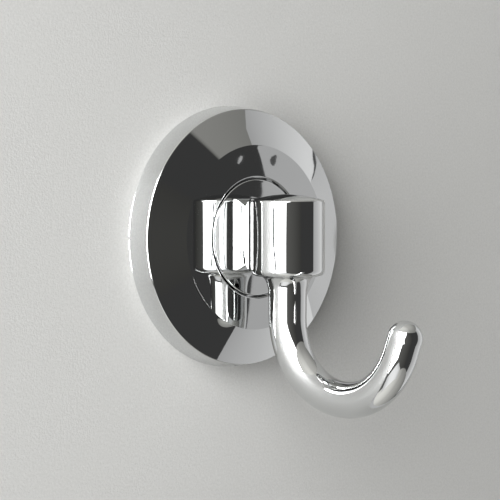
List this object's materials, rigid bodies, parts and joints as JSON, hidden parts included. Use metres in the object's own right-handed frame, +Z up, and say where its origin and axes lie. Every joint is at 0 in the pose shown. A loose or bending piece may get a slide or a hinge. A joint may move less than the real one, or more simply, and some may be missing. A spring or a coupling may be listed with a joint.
{
  "type": "wall hook",
  "caption": "Chromed robe hook: round bevelled rose, upright barrel and a J-shaped round arm with a domed tip, on a concealed screw-on bracket.",
  "frame": {"origin": "centre of the bracket's back face, on the wall", "axes": "+Z up, +Y into the wall, so the hook stands out along -Y and its arm lies in the plane X = 0"},
  "size_m": [0.055, 0.0792, 0.0626],
  "materials": {
    "chrome": "bright mirror plating",
    "zinc_plate": "satin zinc plating",
    "plain_steel": "plain steel",
    "black_steel": "blackened steel",
    "nylon": "matt moulded nylon"
  },
  "bodies": {
    "bracket": {"wall_bracket": "zinc_plate", "wall_screw_left": "plain_steel", "wall_screw_right": "plain_steel", "wall_plug_left": "nylon", "wall_plug_right": "nylon"},
    "hook": {"rose": "chrome", "hub_post": "chrome", "barrel": "chrome", "hook_arm": "chrome", "arm_stud": "plain_steel", "barrel_screw": "plain_steel", "flat_washer": "plain_steel", "spring_washer": "plain_steel", "locating_pin": "plain_steel"},
    "grub": {"grub_screw": "black_steel"}
  },
  "joints": [
    {"name": "hook_lift_off", "type": "slide", "parent": "bracket", "child": "hook", "axis": [0, -1, 0], "range_m": [0, 0.012]},
    {"name": "grub_screw_out", "type": "slide", "parent": "hook", "child": "grub", "axis": [0, 0, -1], "range_m": [0, 0.003]}
  ]
}
